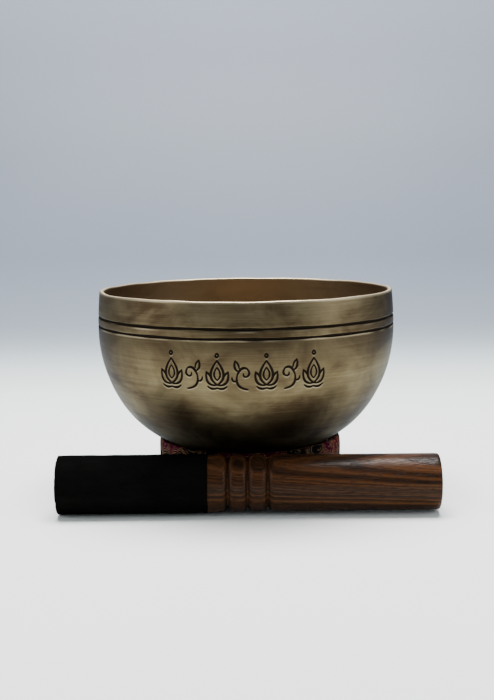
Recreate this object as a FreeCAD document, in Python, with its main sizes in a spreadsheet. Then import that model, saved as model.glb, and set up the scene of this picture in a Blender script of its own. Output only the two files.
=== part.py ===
import FreeCAD, Part
import math
import os

import Sketcher
from FreeCAD import Placement, Rotation, Vector

# A singing bowl at rest on its ring cushion, with its mallet lying in front.
# Millimetres, +Z up. The origin is on the table, on the bowl's upright axis. The
# mallet lies along X in front of the cushion, under the bowl's overhang, with its
# leather end at -X.

doc = FreeCAD.newDocument("singing_bowl")

# ---------------------------------------------------------------- sizes, in mm

SIZES = [
    # the bowl
    ("belly_radius", 85.4, "outside radius where the bowl is widest"),
    ("bowl_height", 93.3, "foot to rim"),
    ("belly_rise", 71.8, "foot to the widest ring"),
    ("belly_roundness", 1.2969, "side curve past belly_rise, over the rise past the reach"),
    ("foot_radius", 20.0, "radius of the flat the bowl stands on"),
    ("rim_draw_in", 1.0, "how much narrower the rim is than the belly, in radius"),
    ("wall_thickness", 2.2, "metal at the belly"),
    ("bottom_thickness", 2.8, "metal at the foot"),
    ("lip_thickness", 2.5, "metal at the rim"),
    ("lip_round", 0.8, "rounding of the rim's two edges"),
    ("upper_chase_drop", 14.25, "rim to the middle of the upper chased line"),
    ("lower_chase_drop", 19.4, "rim to the middle of the lower chased line"),
    ("chase_width", 1.45, "width of a chased line"),
    ("chase_depth", 0.55, "depth of a chased line"),
    # the ring cushion
    ("seat_height", 21.3, "table to the bowl's foot"),
    ("cushion_radius", 52.2, "outside radius of the ring"),
    ("hole_radius", 22.0, "radius of the hole through the ring"),
    ("side_roundness", 0.90, "radius of the outer side's curve over its height"),
    ("hole_roundness", 0.76, "radius of the hole side's curve over seat_height"),
    ("base_tuck", 8.2, "how far the flat base stops inside the outer side"),
    ("lip_tuck", 2.0, "how far the top edge stops inside the outer side"),
    ("hole_base_tuck", 5.0, "how far the flat base stops outside the hole"),
    ("hole_seat_tuck", 3.0, "how far the seat stops outside the hole"),
    ("edge_round", 1.4, "rounding of the cushion's top outer edge"),
    ("seat_clearance", 0.3, "gap between the bowl and the seat"),
    ("cloth_thickness", 1.2, "brocade with its lining"),
    ("filling_clearance", 0.1, "gap between the filling and the cover"),
    ("thread_radius", 0.4, "radius of the closing seam's thread"),
    ("thread_clearance", 0.06, "gap between the thread and its seam valley"),
    ("seam_height", 9.0, "table to the closing seam inside the hole"),
    # the mallet
    ("mallet_length", 203.6, "end to end"),
    ("mallet_middle", 0.6, "how far the mallet's middle lies to +X of the bowl's axis"),
    ("mallet_gap", 0.4, "across Y, from the widest ring of the cushion to the suede's line"),
    ("suede_radius", 15.7, "outside radius of the suede"),
    ("suede_thickness", 1.3, "thickness of the suede"),
    ("suede_fit", 0.05, "glue line between the suede and its seat"),
    ("suede_length", 79.8, "length of the suede along the stick"),
    ("suede_edge", 0.5, "rounding of the suede's cut edges"),
    ("seam_gap", 0.5, "gap where the suede's two long edges meet"),
    ("seam_lean", 16.0, "degrees from the top of the mallet back to that gap"),
    ("handle_radius", 15.05, "radius of the bare wood"),
    ("end_bevel", 1.3, "bevel at both ends of the stick"),
    ("bead_start", 10.8, "suede to the middle of the first bead groove"),
    ("bead_pitch", 10.6, "groove to groove"),
    ("bead_groove_depth", 2.3, "depth of a bead groove"),
    ("bead_groove_bottom", 0.9, "width of a bead groove at its bottom"),
    ("bead_shoulder", 3.5, "length of the rounded shoulder each side of a groove"),
]

sheet = doc.addObject("Spreadsheet::Sheet", "Sizes")
for row, (alias, number, meaning) in enumerate(SIZES, start=1):
    sheet.set("A%d" % row, alias)
    sheet.set("B%d" % row, str(number))
    sheet.setAlias("B%d" % row, alias)
    sheet.set("C%d" % row, meaning)
doc.recompute()


def number(expression):
    """The value of an expression on the sheet's cells."""
    value = sheet.evalExpression(expression)
    return float(getattr(value, "Value", value))


# ---------------------------------------------------------------- drawing helpers


def new_body(name):
    """An empty body whose label names its file."""
    body = doc.addObject("PartDesign::Body", name)
    body.Label = name
    return body


def upright_plane(body):
    """The body's own XZ plane."""
    for feature in body.Origin.OriginFeatures:
        if feature.Role == "XZ_Plane":
            return feature
    raise ValueError("no XZ plane in " + body.Name)


def arc_between(start, end, radius, side):
    """The short arc from start to end. side 1 bulges to the right of the way
    there, -1 to the left. Also says whether the arc runs backwards."""
    chord = end - start
    half = chord.Length / 2
    if radius < half:
        raise ValueError("an arc is too tight for its ends")
    left = Vector(-chord.y, chord.x, 0).normalize()
    centre = (start + end) / 2 + left * (side * math.sqrt(radius**2 - half**2))
    first = start if side > 0 else end
    last = end if side > 0 else start
    begin = math.atan2(first.y - centre.y, first.x - centre.x)
    finish = math.atan2(last.y - centre.y, last.x - centre.x)
    circle = Part.Circle(centre, Vector(0, 0, 1), radius)
    return Part.ArcOfCircle(circle, begin, finish), side < 0


def draw_loop(sketch, corners, prefix):
    """A closed outline. Each corner is (across, up, bend): two expressions and,
    where the edge that leaves it is an arc, (radius expression, side)."""
    spots = [Vector(number(across), number(up), 0) for across, up, bend in corners]
    ends = []
    for i, (across, up, bend) in enumerate(corners):
        start, end = spots[i], spots[(i + 1) % len(spots)]
        if bend:
            shape, backwards = arc_between(start, end, number(bend[0]), bend[1])
        else:
            shape, backwards = Part.LineSegment(start, end), False
        edge = sketch.addGeometry(shape, False)
        ends.append((edge, 2, 1) if backwards else (edge, 1, 2))
    for i, (edge, first, last) in enumerate(ends):
        after = ends[(i + 1) % len(ends)]
        sketch.addConstraint(
            Sketcher.Constraint("Coincident", edge, last, after[0], after[1])
        )
    for i, (across, up, bend) in enumerate(corners):
        edge, first, last = ends[i]
        bind(sketch, "DistanceX", (-1, 1, edge, first), across, "%s_x%d" % (prefix, i))
        bind(sketch, "DistanceY", (-1, 1, edge, first), up, "%s_z%d" % (prefix, i))
        if bend:
            bind(sketch, "Radius", (edge,), bend[0], "%s_r%d" % (prefix, i))


def bind(sketch, kind, points, expression, name):
    """A dimension of a sketch, bound to the sheet."""
    which = sketch.addConstraint(
        Sketcher.Constraint(kind, *points, number(expression))
    )
    sketch.renameConstraint(which, name)
    sketch.setExpression("Constraints." + name, expression)


def draw_circle(sketch, across, up, radius, prefix):
    """A full circle, its middle and radius bound to the sheet."""
    middle = Vector(number(across), number(up), 0)
    circle = Part.Circle(middle, Vector(0, 0, 1), number(radius))
    edge = sketch.addGeometry(circle, False)
    bind(sketch, "DistanceX", (-1, 1, edge, 3), across, prefix + "_x")
    bind(sketch, "DistanceY", (-1, 1, edge, 3), up, prefix + "_z")
    bind(sketch, "Radius", (edge,), radius, prefix + "_r")


def new_sketch(body, name, loops):
    """A sketch on the body's upright plane. Each outline is a list of corners, or a
    circle as (across, up, radius)."""
    sketch = body.newObject("Sketcher::SketchObject", name)
    sketch.AttachmentSupport = (upright_plane(body), "")
    sketch.MapMode = "FlatFace"
    for i, outline in enumerate(loops):
        if isinstance(outline, tuple):
            draw_circle(sketch, *outline, "loop%d" % i)
        else:
            draw_loop(sketch, outline, "loop%d" % i)
    doc.recompute()
    return sketch


def turn(body, name, sketch, axis, kind="Revolution"):
    """Turns a sketch about its own axis: V_Axis is upright, H_Axis lies along X."""
    before = body.Shape.Volume if body.Tip else 0.0
    feature = body.newObject("PartDesign::" + kind, name)
    feature.Profile = sketch
    feature.ReferenceAxis = (sketch, [axis])
    feature.Angle = 360.0
    sketch.Visibility = False
    doc.recompute()
    after = body.Shape.Volume
    if (kind == "Groove") == (after >= before):
        raise ValueError("%s left the volume of %s as it was" % (name, body.Name))
    return feature


# ---------------------------------------------------------------- bowl


def side_curves(belly, rise, curve):
    """The foot's curve that runs tangent from the flat foot into the side's curve:
    its radius, and the point (across, up) where the two meet."""
    foot = "Sizes.foot_radius"
    shift = f"({foot} - ({belly}) + ({curve}))"
    radius = (
        f"((({curve}) ^ 2 - {shift} ^ 2 - ({rise}) ^ 2)"
        f" / (2 * (({curve}) - ({rise}))))"
    )
    meet_across = f"(({belly}) - ({curve}) + ({curve}) * {shift} / (({curve}) - {radius}))"
    meet_up = f"(({rise}) + ({curve}) * ({radius} - ({rise})) / (({curve}) - {radius}))"
    return radius, meet_across, meet_up


# The side's curve is larger than its rise where the bowl rises more than it reaches
# out from the foot, and smaller where it reaches out more.
REACH = "(Sizes.belly_radius - Sizes.foot_radius)"
SIDE_CURVE = f"(Sizes.belly_rise + Sizes.belly_roundness * (Sizes.belly_rise - {REACH}))"
RIM_RADIUS = "(Sizes.belly_radius - Sizes.rim_draw_in)"
SHOULDER_RISE = "(Sizes.bowl_height - Sizes.belly_rise)"
foot_curve, meet_across, meet_up = side_curves(
    "Sizes.belly_radius", "Sizes.belly_rise", SIDE_CURVE
)

# The inside runs a wall's thickness in from the outside, and thickens to the foot.
INNER_BELLY = "(Sizes.belly_radius - Sizes.wall_thickness)"
INNER_RISE = "(Sizes.belly_rise - Sizes.bottom_thickness)"
INNER_CURVE = f"({SIDE_CURVE} - Sizes.wall_thickness)"
INNER_RIM = "(Sizes.belly_radius - Sizes.rim_draw_in - Sizes.lip_thickness)"
inner_foot_curve, inner_meet_across, inner_meet_up = side_curves(
    INNER_BELLY, INNER_RISE, INNER_CURVE
)


def shoulder_curve(draw_in):
    """Radius of the curve that rises upright from the belly and leans in by draw_in."""
    return f"(({SHOULDER_RISE} ^ 2 + ({draw_in}) ^ 2) / (2 * ({draw_in})))"


bowl = new_body("bowl")
bowl_section = new_sketch(
    bowl,
    "bowl_section",
    [
        [
            ("0", "0", None),
            ("Sizes.foot_radius", "0", (foot_curve, 1)),
            (meet_across, meet_up, (SIDE_CURVE, 1)),
            (
                "Sizes.belly_radius",
                "Sizes.belly_rise",
                (shoulder_curve("Sizes.rim_draw_in"), 1),
            ),
            (RIM_RADIUS, "Sizes.bowl_height", None),
            (
                INNER_RIM,
                "Sizes.bowl_height",
                (shoulder_curve(f"{INNER_BELLY} - {INNER_RIM}"), -1),
            ),
            (INNER_BELLY, "Sizes.belly_rise", (INNER_CURVE, -1)),
            (
                inner_meet_across,
                f"Sizes.bottom_thickness + {inner_meet_up}",
                (inner_foot_curve, -1),
            ),
            ("Sizes.foot_radius", "Sizes.bottom_thickness", None),
            ("0", "Sizes.bottom_thickness", None),
        ]
    ],
)
turn(bowl, "bowl_shell", bowl_section, "V_Axis")

# Two lines chased around the outside below the rim, V-shaped with open sides. The
# outline starts well outside the metal, so that it cuts through its curved face.
CHASE_OUTSIDE = "(Sizes.belly_radius + 2)"


def chased_line(drop):
    """The outline of one chased line, its middle this far below the rim."""
    middle = f"(Sizes.bowl_height - {drop})"
    half = "Sizes.chase_width / 2"
    lean = f"(Sizes.rim_draw_in * (({middle} - Sizes.belly_rise) / {SHOULDER_RISE}) ^ 2)"
    face = f"(Sizes.belly_radius - {lean})"
    bottom = f"({face} - Sizes.chase_depth)"
    return [
        (bottom, f"{middle} - {half} * 0.3", None),
        (face, f"{middle} - {half}", None),
        (CHASE_OUTSIDE, f"{middle} - {half}", None),
        (CHASE_OUTSIDE, f"{middle} + {half}", None),
        (face, f"{middle} + {half}", None),
        (bottom, f"{middle} + {half} * 0.3", None),
    ]


chased_section = new_sketch(
    bowl,
    "chased_lines_section",
    [chased_line("Sizes.upper_chase_drop"), chased_line("Sizes.lower_chase_drop")],
)
turn(bowl, "chased_lines", chased_section, "V_Axis", "Groove")


def circles_at(body, height, radii):
    """Names of the body's full circular edges at this height with these radii."""
    names = []
    for i, edge in enumerate(body.Shape.Edges, start=1):
        box = edge.BoundBox
        flat = abs(box.ZMax - box.ZMin) < 1e-4 and abs(box.ZMax - height) < 1e-3
        if flat and any(abs(box.XMax - radius) < 1e-3 for radius in radii):
            names.append("Edge%d" % i)
    return names


lip_edges = circles_at(
    bowl, number("Sizes.bowl_height"), [number(RIM_RADIUS), number(INNER_RIM)]
)
lip_base = bowl.Tip
bowl_lip = bowl.newObject("PartDesign::Fillet", "rounded_lip")
bowl_lip.Base = (lip_base, lip_edges)
bowl_lip.setExpression("Radius", "Sizes.lip_round")
doc.recompute()
bowl.setExpression("Placement.Base.z", "Sizes.seat_height")

# ---------------------------------------------------------------- ring cushion

# The seat follows the bowl's foot curve, a clearance below it.
SEAT_CENTRE_UP = f"(Sizes.seat_height + {foot_curve})"


def seat_up(across, below):
    """Height of the seat's curve at this radius, this far below the bowl."""
    reach = f"(({foot_curve} + {below}) ^ 2 - (({across}) - Sizes.foot_radius) ^ 2)"
    return f"({SEAT_CENTRE_UP} - sqrt({reach}))"


def ring_outline(inside):
    """The cushion's section, moved in from its outside by this much."""
    below = f"(Sizes.seat_clearance + {inside})"
    lip = f"(Sizes.cushion_radius - Sizes.lip_tuck - 1.1 * {inside})"
    lip_outside = "(Sizes.cushion_radius - Sizes.lip_tuck)"
    lip_height = seat_up(lip_outside, "Sizes.seat_clearance")
    seat_in = f"(Sizes.hole_radius + Sizes.hole_seat_tuck + 0.7 * {inside})"
    outer_curve = f"({lip_height} * Sizes.side_roundness - {inside})"
    hole_curve = f"(Sizes.seat_height * Sizes.hole_roundness - {inside})"
    seat_curve = f"({foot_curve} + {below})"
    base_in = f"Sizes.hole_radius + Sizes.hole_base_tuck + 0.5 * {inside}"
    base_out = f"Sizes.cushion_radius - Sizes.base_tuck - 0.5 * {inside}"
    return [
        (base_in, inside, None),
        (base_out, inside, (outer_curve, 1)),
        (lip, seat_up(lip, below), (seat_curve, -1)),
        (seat_in, seat_up(seat_in, below), (hole_curve, 1)),
    ]


CLOTH = "Sizes.cloth_thickness"
FILLING = "(Sizes.cloth_thickness + Sizes.filling_clearance)"

cushion_cover = new_body("cushion_cover")
cover_section = new_sketch(cushion_cover, "cover_section", [ring_outline("0")])
turn(cushion_cover, "cover_ring", cover_section, "V_Axis")

lip_across = number("Sizes.cushion_radius - Sizes.lip_tuck")
lip_up = number(seat_up("(Sizes.cushion_radius - Sizes.lip_tuck)", "Sizes.seat_clearance"))
cover_edge_base = cushion_cover.Tip
cover_edges = circles_at(cushion_cover, lip_up, [lip_across])
cover_edge = cushion_cover.newObject("PartDesign::Fillet", "cover_top_edge")
cover_edge.Base = (cover_edge_base, cover_edges)
cover_edge.setExpression("Radius", "Sizes.edge_round")
doc.recompute()

# The cover is a sleeve, so the space for the filling is cut out of it all round.
cavity_section = new_sketch(cushion_cover, "cavity_section", [ring_outline(CLOTH)])
turn(cushion_cover, "cover_cavity", cavity_section, "V_Axis", "Groove")


def hole_wall(up):
    """Radius of the hole's wall at this height."""
    outline = ring_outline("0")
    foot = Vector(number(outline[0][0]), number(outline[0][1]), 0)
    seat = Vector(number(outline[3][0]), number(outline[3][1]), 0)
    arc = arc_between(seat, foot, number(outline[3][2][0]), 1)[0]
    centre = arc.Center
    return centre.x - math.sqrt(arc.Radius**2 - (up - centre.y) ** 2)


# The closing seam lies in a valley around the hole. Its thread is half sunk in it.
sheet_row = len(SIZES) + 1
sheet.set("A%d" % sheet_row, "seam_ring_radius")
sheet.set("B%d" % sheet_row, "%.4f" % (hole_wall(number("Sizes.seam_height")) + 0.2))
sheet.setAlias("B%d" % sheet_row, "seam_ring_radius")
sheet.set("C%d" % sheet_row, "radius of the closing seam's ring, worked out above")
doc.recompute()


VALLEY = "Sizes.thread_radius + Sizes.thread_clearance"
valley_section = new_sketch(
    cushion_cover,
    "seam_valley_section",
    [("Sizes.seam_ring_radius", "Sizes.seam_height", VALLEY)],
)
turn(cushion_cover, "seam_valley", valley_section, "V_Axis", "Groove")

cushion_filling = new_body("cushion_filling")
filling_section = new_sketch(cushion_filling, "filling_section", [ring_outline(FILLING)])
turn(cushion_filling, "filling_ring", filling_section, "V_Axis")

cushion_seam_thread = new_body("cushion_seam_thread")
thread_section = new_sketch(
    cushion_seam_thread,
    "thread_section",
    [("Sizes.seam_ring_radius", "Sizes.seam_height", "Sizes.thread_radius")],
)
turn(cushion_seam_thread, "thread_ring", thread_section, "V_Axis")

# ---------------------------------------------------------------- mallet

MALLET_START = "Sizes.mallet_middle - Sizes.mallet_length / 2"
MALLET_AXIS_Y = "-(Sizes.cushion_radius + Sizes.mallet_gap + Sizes.suede_radius)"
SEAT_RADIUS = "(Sizes.suede_radius - Sizes.suede_thickness - Sizes.suede_fit)"
SEAT_END = "(Sizes.suede_length + Sizes.suede_fit)"
HANDLE = "Sizes.handle_radius"
BEVEL = "Sizes.end_bevel"
LENGTH = "Sizes.mallet_length"


def lay_down(body):
    """Lays a piece of the mallet on the table, in front of the cushion."""
    body.setExpression("Placement.Base.x", MALLET_START)
    body.setExpression("Placement.Base.y", MALLET_AXIS_Y)
    body.setExpression("Placement.Base.z", "Sizes.suede_radius")


mallet_stick = new_body("mallet_stick")
stick_section = new_sketch(
    mallet_stick,
    "stick_section",
    [
        [
            ("0", "0", None),
            (LENGTH, "0", None),
            (LENGTH, f"{HANDLE} - {BEVEL}", None),
            (f"{LENGTH} - {BEVEL}", HANDLE, None),
            (SEAT_END, HANDLE, None),
            (SEAT_END, SEAT_RADIUS, None),
            (BEVEL, SEAT_RADIUS, None),
            ("0", f"{SEAT_RADIUS} - {BEVEL}", None),
        ]
    ],
)
turn(mallet_stick, "stick_blank", stick_section, "H_Axis")

# Three beads are cut by three grooves with rounded shoulders.
GROOVE_MIDDLE = f"({SEAT_END} + Sizes.bead_start)"
GROOVE_HALF = "Sizes.bead_groove_bottom / 2"
GROOVE_FOOT = "(Sizes.handle_radius - Sizes.bead_groove_depth)"
SHOULDER = (
    "((Sizes.bead_shoulder ^ 2 + Sizes.bead_groove_depth ^ 2)"
    " / (2 * Sizes.bead_groove_depth))"
)
groove_section = new_sketch(
    mallet_stick,
    "bead_groove_section",
    [
        [
            (f"{GROOVE_MIDDLE} - {GROOVE_HALF}", GROOVE_FOOT, None),
            (f"{GROOVE_MIDDLE} + {GROOVE_HALF}", GROOVE_FOOT, (SHOULDER, -1)),
            (f"{GROOVE_MIDDLE} + {GROOVE_HALF} + Sizes.bead_shoulder", HANDLE, None),
            (f"{GROOVE_MIDDLE} + {GROOVE_HALF} + Sizes.bead_shoulder", f"{HANDLE} + 1", None),
            (f"{GROOVE_MIDDLE} - {GROOVE_HALF} - Sizes.bead_shoulder", f"{HANDLE} + 1", None),
            (f"{GROOVE_MIDDLE} - {GROOVE_HALF} - Sizes.bead_shoulder", HANDLE, (SHOULDER, -1)),
        ]
    ],
)
bead_groove = turn(mallet_stick, "bead_groove", groove_section, "H_Axis", "Groove")
one_groove = mallet_stick.Shape.Volume
bead_grooves = mallet_stick.newObject("PartDesign::LinearPattern", "bead_grooves")
bead_grooves.Originals = [bead_groove]
bead_grooves.Direction = (groove_section, ["H_Axis"])
bead_grooves.setExpression("Length", "2 * Sizes.bead_pitch")
bead_grooves.Occurrences = 3
mallet_stick.Tip = bead_grooves
doc.recompute()
if mallet_stick.Shape.Volume >= one_groove:
    raise ValueError("the second and third bead grooves cut nothing")
lay_down(mallet_stick)

# The suede is a strip rolled around the stick, its long edges butted with a gap.
suede_wrap = new_body("suede_wrap")
SUEDE_INNER = "(Sizes.suede_radius - Sizes.suede_thickness)"
SUEDE_EDGE = "Sizes.suede_edge"
suede_section = new_sketch(
    suede_wrap,
    "suede_section",
    [
        [
            ("0", SUEDE_INNER, None),
            ("Sizes.suede_length", SUEDE_INNER, None),
            ("Sizes.suede_length", f"Sizes.suede_radius - {SUEDE_EDGE}", (SUEDE_EDGE, 1)),
            (f"Sizes.suede_length - {SUEDE_EDGE}", "Sizes.suede_radius", None),
            (SUEDE_EDGE, "Sizes.suede_radius", (SUEDE_EDGE, 1)),
            ("0", f"Sizes.suede_radius - {SUEDE_EDGE}", None),
        ]
    ],
)
suede_roll = turn(suede_wrap, "suede_roll", suede_section, "H_Axis")
suede_roll.setExpression("Angle", "360 - Sizes.seam_gap / Sizes.suede_radius * 180 / pi")
suede_wrap.Placement = Placement(
    Vector(0, 0, 0), Rotation(Vector(-1, 0, 0), number("Sizes.seam_lean"))
)
suede_wrap.setExpression("Placement.Rotation.Angle", "Sizes.seam_lean")
lay_down(suede_wrap)

# ---------------------------------------------------------------- check and write

doc.recompute()
for thing in doc.Objects:
    if "Invalid" in thing.State or "Error" in thing.State:
        raise ValueError("%s did not rebuild: %s" % (thing.Name, thing.State))

PIECES = [
    bowl,
    cushion_cover,
    cushion_filling,
    cushion_seam_thread,
    mallet_stick,
    suede_wrap,
]
for piece in PIECES:
    if piece.Shape.isNull() or not piece.Shape.isValid() or len(piece.Shape.Solids) != 1:
        raise ValueError("%s is not one sound solid" % piece.Label)

os.makedirs("parts", exist_ok=True)
for piece in PIECES:
    piece.Shape.exportStep("parts/%s.step" % piece.Label)
    box = piece.Shape.BoundBox
    print(
        "%-20s %8.1f mm3   x %7.2f %7.2f   y %7.2f %7.2f   z %7.2f %7.2f"
        % (
            piece.Label,
            piece.Shape.Volume,
            box.XMin,
            box.XMax,
            box.YMin,
            box.YMax,
            box.ZMin,
            box.ZMax,
        )
    )
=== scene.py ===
import math
import random

import bpy
import numpy as np
from mathutils import Matrix, Vector


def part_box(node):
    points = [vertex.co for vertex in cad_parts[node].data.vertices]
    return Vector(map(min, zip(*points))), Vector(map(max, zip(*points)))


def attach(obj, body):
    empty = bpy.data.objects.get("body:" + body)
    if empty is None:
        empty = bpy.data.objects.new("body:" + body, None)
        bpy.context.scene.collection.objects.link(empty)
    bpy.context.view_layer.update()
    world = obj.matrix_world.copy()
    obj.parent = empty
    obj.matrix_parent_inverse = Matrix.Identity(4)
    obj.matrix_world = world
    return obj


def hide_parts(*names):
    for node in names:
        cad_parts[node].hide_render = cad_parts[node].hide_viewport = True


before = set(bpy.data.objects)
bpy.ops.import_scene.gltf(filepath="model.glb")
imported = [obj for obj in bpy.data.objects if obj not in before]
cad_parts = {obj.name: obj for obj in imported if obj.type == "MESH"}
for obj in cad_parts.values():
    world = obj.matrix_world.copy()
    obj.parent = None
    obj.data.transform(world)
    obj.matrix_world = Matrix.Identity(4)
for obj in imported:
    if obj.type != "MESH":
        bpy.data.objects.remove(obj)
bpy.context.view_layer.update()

# ------------------------------------------------------------------ camera
# The set as a customer sees it on the table: from in front, a little above the
# rim, with most of the frame left free above the bowl.

camera_data = bpy.data.cameras.new("camera")
camera_data.lens = 61.7
camera_data.sensor_width = 36.0
camera = bpy.data.objects.new("camera", camera_data)
bpy.context.scene.collection.objects.link(camera)
CAMERA_PLACE = Vector((0.00045, -0.6948, 0.1719))
CAMERA_DIP = 0.134
CAMERA_ROLL = -0.010
camera.matrix_world = (
    Matrix.Translation(CAMERA_PLACE)
    @ Matrix.Rotation(math.pi / 2 - CAMERA_DIP, 4, "X")
    @ Matrix.Rotation(CAMERA_ROLL, 4, "Z")
)
bpy.context.scene.camera = camera

# ------------------------------------------------------------------ cushion stuffing
# Carded cotton, pushed into the brocade sleeve by hand until it is firm. It fills
# the ring and takes the dish of the bowl's underside. It is never seen.

bowl_low, bowl_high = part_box("bowl")
AXIS = Vector(((bowl_low.x + bowl_high.x) / 2, (bowl_low.y + bowl_high.y) / 2, 0))
FOOT_UP = bowl_low.z
FOOT_RADIUS = 0.020
FOOT_CURVE = 0.0629
COTTON_CREAM = (0.80, 0.74, 0.62)

# Half of the ring's section, table to seat, as (radius, height) in metres: up the
# hole's wall, out across the seat, down the outside and back along the base.
RING_SECTION = [
    (0.0252, 0.0020),
    (0.0228, 0.0055),
    (0.0220, 0.0100),
    (0.0229, 0.0165),
    (0.0258, 0.0206),
    (0.0330, 0.0223),
    (0.0420, 0.0251),
    (0.0480, 0.0280),
    (0.0511, 0.0288),
    (0.0522, 0.0245),
    (0.0522, 0.0180),
    (0.0518, 0.0110),
    (0.0500, 0.0050),
    (0.0460, 0.0008),
    (0.0420, 0.0000),
    (0.0360, 0.0000),
    (0.0290, 0.0002),
]


def under_bowl(radius):
    """Height of the bowl's underside at this distance from its axis."""
    reach = np.clip(radius - FOOT_RADIUS, 0, FOOT_CURVE * 0.95)
    return FOOT_UP + FOOT_CURVE - np.sqrt(FOOT_CURVE**2 - reach**2)


def closed_curve(points, count):
    """A smooth closed curve through the points, cut into equal lengths."""
    points = np.array(points)
    last = len(points)
    dense = []
    for i in range(last):
        before, start = points[i - 1], points[i]
        end, after = points[(i + 1) % last], points[(i + 2) % last]
        for t in np.linspace(0, 1, 24, endpoint=False):
            dense.append(
                0.5
                * (
                    2 * start
                    + (end - before) * t
                    + (2 * before - 5 * start + 4 * end - after) * t**2
                    + (3 * start - before - 3 * end + after) * t**3
                )
            )
    dense = np.array(dense + dense[:1])
    run = np.concatenate([[0], np.cumsum(np.hypot(*np.diff(dense, axis=0).T))])
    wanted = np.linspace(0, run[-1], count, endpoint=False)
    curve = np.stack([np.interp(wanted, run, dense[:, k]) for k in (0, 1)], axis=1)
    return curve, run[-1]


def piece_from(name, points, faces, smooth=True):
    """A new object in the scene from points and faces, in the set's frame."""
    mesh = bpy.data.meshes.new(name)
    mesh.from_pydata([tuple(p) for p in points], [], faces)
    mesh.polygons.foreach_set("use_smooth", [smooth] * len(mesh.polygons))
    mesh.update()
    piece = bpy.data.objects.new(name, mesh)
    bpy.context.scene.collection.objects.link(piece)
    return piece


def ring_faces(around, along):
    """Faces of a closed ring of around sections, each of along points."""
    faces = []
    for i in range(around):
        for j in range(along):
            a, b = i * along, (i + 1) % around * along
            k = (j + 1) % along
            faces.append((a + j, b + j, b + k, a + k))
    return faces


def ring_points(section, around, inset=0.0):
    """The section turned about the bowl's axis, moved in by inset."""
    ahead = np.roll(section, -1, axis=0) - np.roll(section, 1, axis=0)
    ahead /= np.linalg.norm(ahead, axis=1)[:, None]
    outward = np.stack([-ahead[:, 1], ahead[:, 0]], axis=1)
    section = section - outward * inset
    turn = np.linspace(0, 2 * math.pi, around, endpoint=False) + math.pi / 2
    radius, height = section[:, 0][None, :], section[:, 1][None, :]
    x = AXIS.x + radius * np.cos(turn)[:, None]
    y = AXIS.y + radius * np.sin(turn)[:, None]
    return np.stack([x, y, np.broadcast_to(height, x.shape)], axis=2)


class Recipe:
    """The shader nodes of one material, joined as they are added."""

    def __init__(self, name):
        self.material = bpy.data.materials.new(name)
        self.material.use_nodes = True
        self.tree = self.material.node_tree
        self.shader = self.tree.nodes["Principled BSDF"]

    def add(self, kind, *inputs, **settings):
        """A node with these settings, its first inputs fed in order."""
        node = self.tree.nodes.new("ShaderNode" + kind)
        for name, value in settings.items():
            setattr(node, name, value)
        for socket, value in zip(node.inputs, inputs):
            self.feed(socket, value)
        return node

    def feed(self, socket, value):
        """Joins an output to the socket, or sets the socket's own value."""
        if value is None:
            return
        if isinstance(value, bpy.types.NodeSocket):
            self.tree.links.new(value, socket)
        elif isinstance(value, tuple) and len(value) == 3 and socket.type == "RGBA":
            socket.default_value = (*value, 1.0)
        else:
            socket.default_value = value

    def math(self, operation, a, b=None, c=None, clamp=False):
        node = self.add("Math", a, b, c, operation=operation, use_clamp=clamp)
        return node.outputs[0]

    def spread(self, value, low, high, to_low=0.0, to_high=1.0):
        """The value mapped from low..high to to_low..to_high, and kept there."""
        node = self.add("MapRange", value, low, high, to_low, to_high)
        return node.outputs[0]

    def mix(self, share, a, b, blend="MIX"):
        node = self.add("Mix", data_type="RGBA", blend_type=blend)
        for socket, value in zip((node.inputs[0], node.inputs[6], node.inputs[7]), (share, a, b)):
            self.feed(socket, value)
        return node.outputs[2]

    def ramp(self, value, stops):
        """A colour ramp through (position, colour) stops."""
        node = self.add("ValToRGB", value)
        ramp = node.color_ramp
        while len(ramp.elements) < len(stops):
            ramp.elements.new(0.5)
        for element, (position, colour) in zip(ramp.elements, stops):
            element.position = position
            element.color = (*colour, 1.0)
        return node.outputs[0]

    def place(self):
        """Where a point is on the piece, in metres."""
        return self.add("TexCoord").outputs["Object"]

    def stretched(self, vector, scale, shift=(0, 0, 0)):
        """A vector multiplied by scale along each axis and then shifted."""
        return self.add("VectorMath", vector, scale, shift, operation="MULTIPLY_ADD").outputs[0]

    def noise(self, vector, scale, detail=2.0, roughness=0.5, distortion=0.0):
        node = self.add("TexNoise")
        self.feed(node.inputs["Vector"], vector)
        node.inputs["Scale"].default_value = scale
        node.inputs["Detail"].default_value = detail
        node.inputs["Roughness"].default_value = roughness
        node.inputs["Distortion"].default_value = distortion
        return node.outputs[0]

    def attribute(self, name):
        return self.add("Attribute", attribute_name=name).outputs["Fac"]

    def bump(self, height, distance, strength=1.0, under=None):
        """Relief of height (0 to 1) times distance in metres, over another relief."""
        node = self.add("Bump")
        node.inputs["Strength"].default_value = strength
        node.inputs["Distance"].default_value = distance
        self.feed(node.inputs["Height"], height)
        self.feed(node.inputs["Normal"], under)
        return node.outputs[0]

    def finish(self, colour=None, roughness=None, relief=None, metal=None, **own):
        """Feeds the shader. own holds values set on the shader's own sockets."""
        self.feed(self.shader.inputs["Base Color"], colour)
        self.feed(self.shader.inputs["Roughness"], roughness)
        self.feed(self.shader.inputs["Normal"], relief)
        self.feed(self.shader.inputs["Metallic"], metal)
        for name, value in own.items():
            self.feed(self.shader.inputs[name.replace("_", " ")], value)
        return self.material


def cotton():
    """Matted white fibre."""
    recipe = Recipe("carded_cotton")
    place = recipe.place()
    tangle = recipe.noise(place, 900, 5, 0.7, 1.5)
    colour = recipe.mix(tangle, (0.66, 0.59, 0.47), COTTON_CREAM)
    relief = recipe.bump(tangle, 0.0006)
    return recipe.finish(colour, 0.95, relief)


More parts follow.
